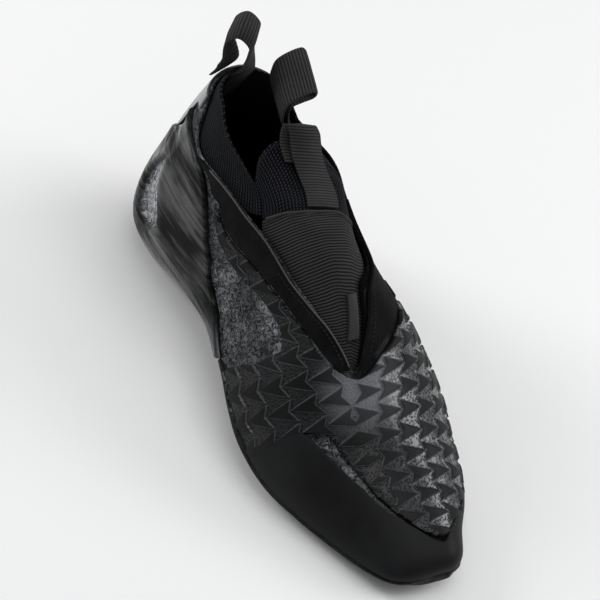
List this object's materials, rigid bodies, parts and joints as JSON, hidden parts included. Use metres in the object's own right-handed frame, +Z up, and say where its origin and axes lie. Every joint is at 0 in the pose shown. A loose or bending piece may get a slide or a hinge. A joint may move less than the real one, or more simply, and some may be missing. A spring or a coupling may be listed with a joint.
{
  "type": "climbing shoe, right",
  "caption": "Black and dark grey right slip-on climbing shoe with a moulded heel cup, rubber toe, raised darts over the forefoot, elastic instep and webbing pull loops",
  "frame": {"origin": "Middle of the flat spot under the heel, on the floor plane", "axes": "+X forward to the toe, +Y to the big-toe side, which is the wearer's left, +Z up from the floor"},
  "size_m": [0.24, 0.0996, 0.1388],
  "materials": {
    "leather": "satin, crinkled black leather",
    "sole_rubber": "matt rubber, buffed at its edge",
    "board": "plain lining board",
    "heel_rubber": "dark grey rubber with buffed streaks",
    "toe_rubber": "smooth satin rubber",
    "relief_rubber": "glossy moulded rubber darts",
    "suede": "matt black suede",
    "elastic": "ribbed dark grey elastic",
    "knit": "dark blue-black knit",
    "tag": "smooth bare bar",
    "webbing": "ribbed grey webbing"
  },
  "bodies": {
    "root": {"upper": "leather", "outsole": "sole_rubber", "insole": "board", "heel_cup": "heel_rubber", "heel_tab": "leather", "toe_rubber": "toe_rubber", "relief_layer": "relief_rubber", "throat_band": "suede", "medial_patch": "suede", "elastic_gore": "elastic", "knit_tongue": "knit", "knit_collar": "knit", "tag_bar": "tag", "rear_pull_loop": "webbing", "medial_pull_loop": "webbing", "tongue_pull_tab": "webbing"}
  },
  "joints": []
}
